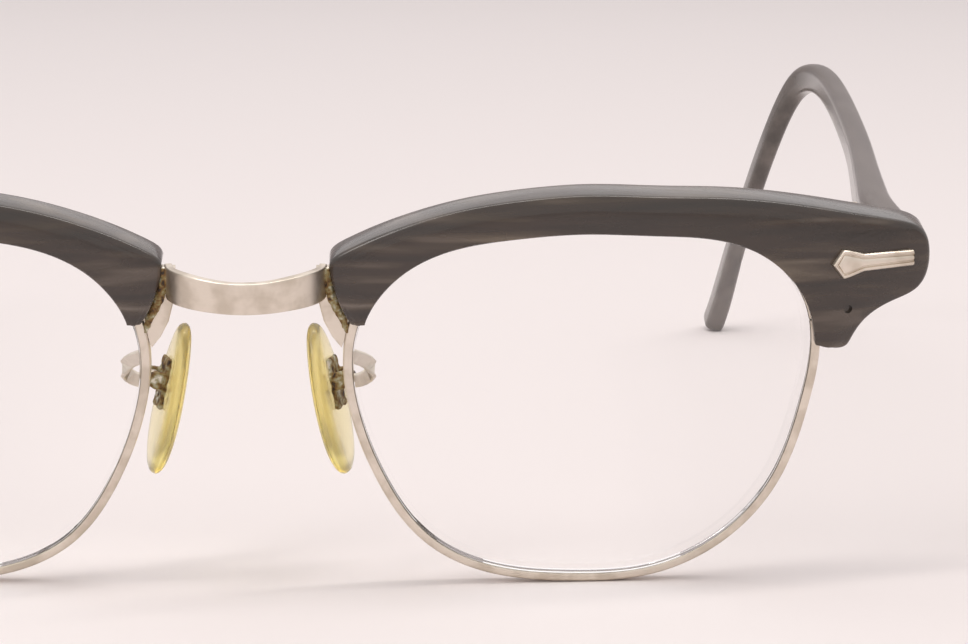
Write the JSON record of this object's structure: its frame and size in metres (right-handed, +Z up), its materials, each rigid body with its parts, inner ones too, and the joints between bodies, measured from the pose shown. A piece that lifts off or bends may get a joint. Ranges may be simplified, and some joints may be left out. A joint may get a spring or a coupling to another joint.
{
  "type": "browline eyeglasses",
  "caption": "Eyeglasses with plastic brows over thin metal rims, a metal bridge, rocking nose pads and hinged temples that end in hooks for the ears.",
  "frame": {"origin": "middle of the glasses across and from front to back, on the floor plane that the rims and the ends of the temples stand on", "axes": "+X across the face towards the wearer's left, which is on the right of a picture of the front; +Y from the front towards the ends of the temples; +Z up"},
  "size_m": [0.1524, 0.1504, 0.043],
  "materials": {
    "frame_metal": "polished pale nickel alloy with fine wear",
    "brow_plastic": "grey brown cellulose acetate with faint lighter streaks, worn shine",
    "temple_plastic": "grey cellulose acetate over a steel core, soft shine",
    "pad_plastic": "yellowed translucent cellulose acetate",
    "lens_glass": "clear ground crown glass"
  },
  "bodies": {
    "front": {"bridge": "frame_metal", "right_eyewire": "frame_metal", "left_eyewire": "frame_metal", "right_lens": "lens_glass", "left_lens": "lens_glass", "right_brow": "brow_plastic", "left_brow": "brow_plastic", "right_front_plaque": "frame_metal", "left_front_plaque": "frame_metal", "right_front_hinge": "frame_metal", "left_front_hinge": "frame_metal", "right_hinge_screw": "frame_metal", "left_hinge_screw": "frame_metal", "right_closing_screw": "frame_metal", "left_closing_screw": "frame_metal", "right_brow_screws": "frame_metal", "left_brow_screws": "frame_metal", "right_pad_arm": "frame_metal", "left_pad_arm": "frame_metal"},
    "right_temple_arm": {"right_temple": "temple_plastic", "right_temple_core": "frame_metal", "right_temple_hinge": "frame_metal", "right_temple_rivets": "frame_metal"},
    "left_temple_arm": {"left_temple": "temple_plastic", "left_temple_core": "frame_metal", "left_temple_hinge": "frame_metal", "left_temple_rivets": "frame_metal"},
    "right_pad": {"right_nose_pad": "pad_plastic", "right_pad_box": "frame_metal"},
    "left_pad": {"left_nose_pad": "pad_plastic", "left_pad_box": "frame_metal"}
  },
  "joints": [
    {"name": "right_temple_fold", "type": "hinge", "parent": "front", "child": "right_temple_arm", "pos_m": [0.0631, -0.06001, 0.036], "axis": [0, -0.1805, 0.9836], "range_deg": [0, 90]},
    {"name": "left_temple_fold", "type": "hinge", "parent": "front", "child": "left_temple_arm", "pos_m": [-0.0631, -0.06001, 0.036], "axis": [0, 0.1805, -0.9836], "range_deg": [0, 82]},
    {"name": "right_pad_rock", "type": "hinge", "parent": "front", "child": "right_pad", "pos_m": [0.00995, -0.0608, 0.02162], "axis": [-0.2527, -0.9675, 0.0047], "range_deg": [-8, 8]},
    {"name": "left_pad_rock", "type": "hinge", "parent": "front", "child": "left_pad", "pos_m": [-0.00995, -0.0608, 0.02162], "axis": [-0.2527, 0.9675, -0.0047], "range_deg": [-8, 8]}
  ]
}
